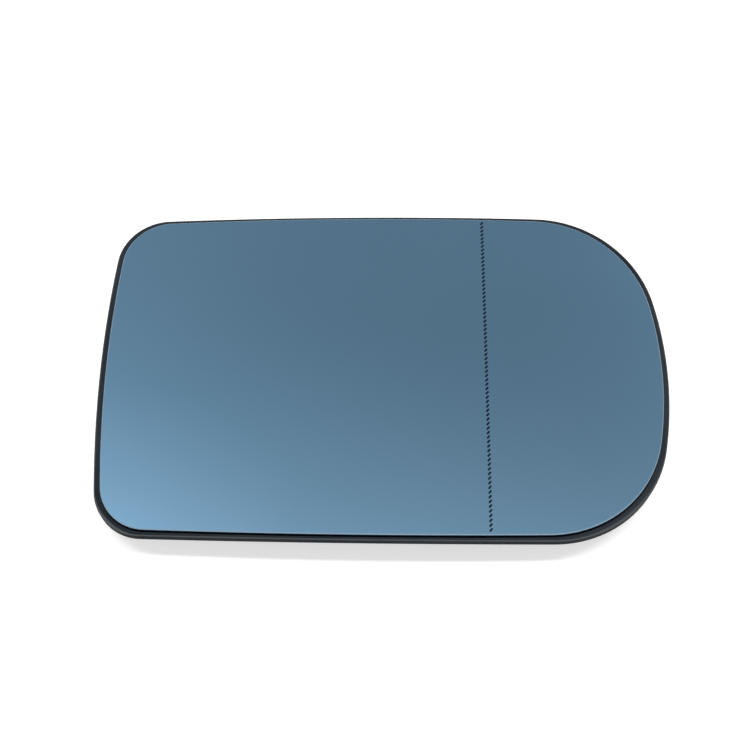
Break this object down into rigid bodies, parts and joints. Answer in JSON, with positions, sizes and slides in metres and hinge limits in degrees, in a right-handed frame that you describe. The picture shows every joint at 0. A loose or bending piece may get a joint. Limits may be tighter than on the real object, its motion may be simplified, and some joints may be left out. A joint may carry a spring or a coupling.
{
  "type": "car door mirror glass",
  "caption": "Blue convex door mirror glass with an aspheric outer zone behind a dotted line, on a black clip-on carrier plate with heater tabs.",
  "frame": {"origin": "centre of the clip ring's end face, which is the middle of the part's outline and the lowest plane", "axes": "+X towards the outer, aspheric end; +Y up the mirror as it hangs on a door; +Z out of the glass; the clip's mate leaves along -Z"},
  "size_m": [0.1765, 0.1096, 0.0165],
  "materials": {
    "blue_mirror": "polished",
    "line_ink": "matte",
    "film": "satin",
    "foam": "matte",
    "black_plastic": "fine grain",
    "tinned_brass": "tinned",
    "rivet_brass": "plain"
  },
  "bodies": {
    "root": {"mirror_glass": "blue_mirror", "aspheric_line": "line_ink", "heater_film": "film", "adhesive_pad": "foam", "carrier_plate": "black_plastic", "heater_terminal_1": "tinned_brass", "heater_terminal_2": "tinned_brass", "terminal_rivet_1": "rivet_brass", "terminal_rivet_2": "rivet_brass"}
  },
  "joints": []
}
